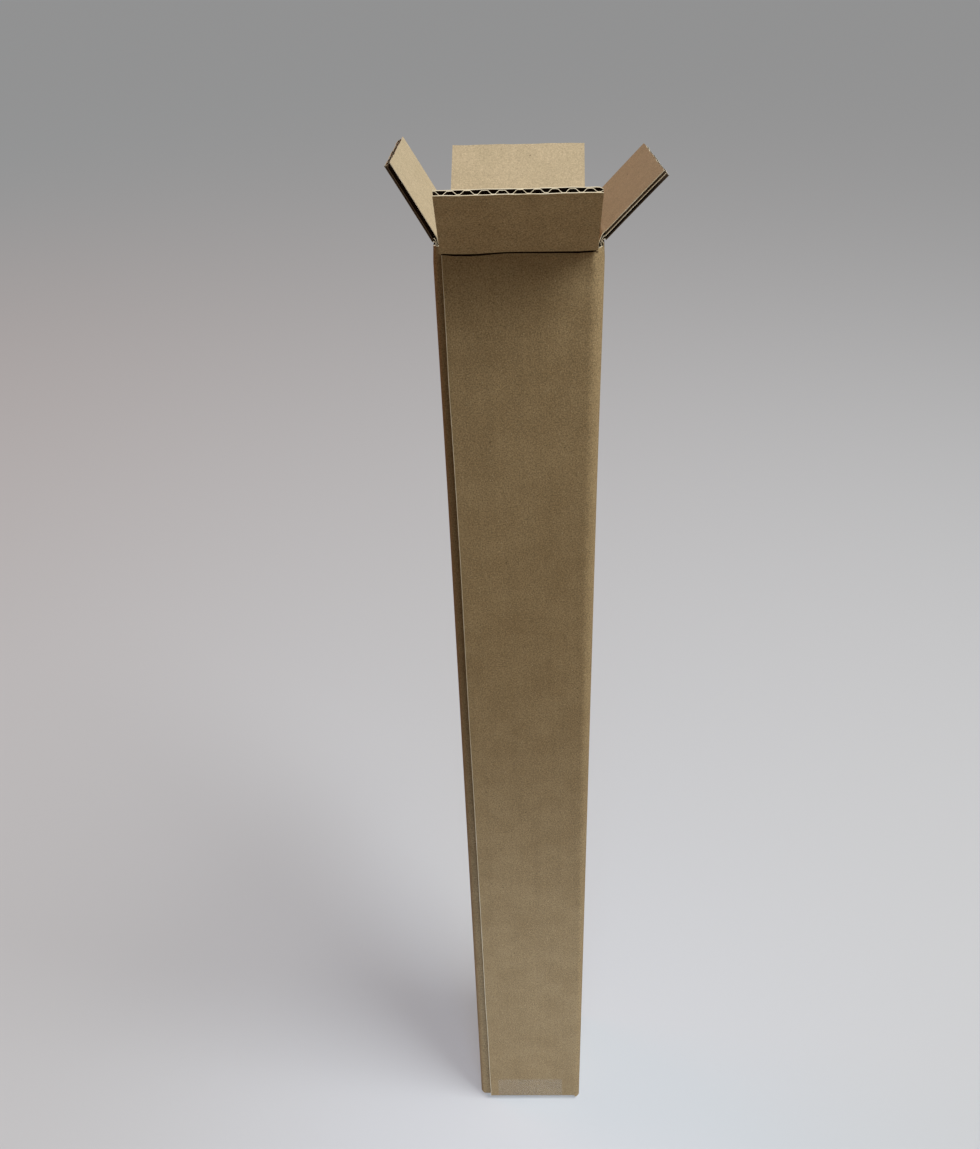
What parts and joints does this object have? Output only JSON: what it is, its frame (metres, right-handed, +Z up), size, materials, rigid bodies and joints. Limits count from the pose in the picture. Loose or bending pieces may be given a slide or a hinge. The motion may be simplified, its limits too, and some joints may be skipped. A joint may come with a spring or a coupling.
{
  "type": "long shipping box",
  "caption": "Tall square corrugated shipping box, standing on its taped bottom with its top flaps open.",
  "frame": {"origin": "on the floor, under the centre of the tube", "axes": "+Z up along the tube, front panel facing -Y, glued corner at -X -Y"},
  "size_m": [0.1118, 0.117, 0.6344],
  "materials": {
    "kraft_board": "matt brown kraft liner",
    "clear_tape": "clear packing tape"
  },
  "bodies": {
    "carton": {"carton_body": "kraft_board", "bottom_tape": "clear_tape"},
    "front_flap": {"top_flap_front": "kraft_board"},
    "back_flap": {"top_flap_back": "kraft_board"},
    "left_flap": {"top_flap_left": "kraft_board"},
    "right_flap": {"top_flap_right": "kraft_board"}
  },
  "joints": [
    {"name": "front_flap_crease", "type": "hinge", "parent": "carton", "child": "front_flap", "pos_m": [0, -0.035, 0.6], "axis": [1, 0, 0], "range_deg": [-128.5, 126.5]},
    {"name": "back_flap_crease", "type": "hinge", "parent": "carton", "child": "back_flap", "pos_m": [0, 0.035, 0.6], "axis": [-1, 0, 0], "range_deg": [-137, 118]},
    {"name": "left_flap_crease", "type": "hinge", "parent": "carton", "child": "left_flap", "pos_m": [-0.035, 0, 0.6032], "axis": [0, -1, 0], "range_deg": [-121, 134]},
    {"name": "right_flap_crease", "type": "hinge", "parent": "carton", "child": "right_flap", "pos_m": [0.035, 0, 0.6032], "axis": [0, 1, 0], "range_deg": [-133.5, 121.5]}
  ]
}
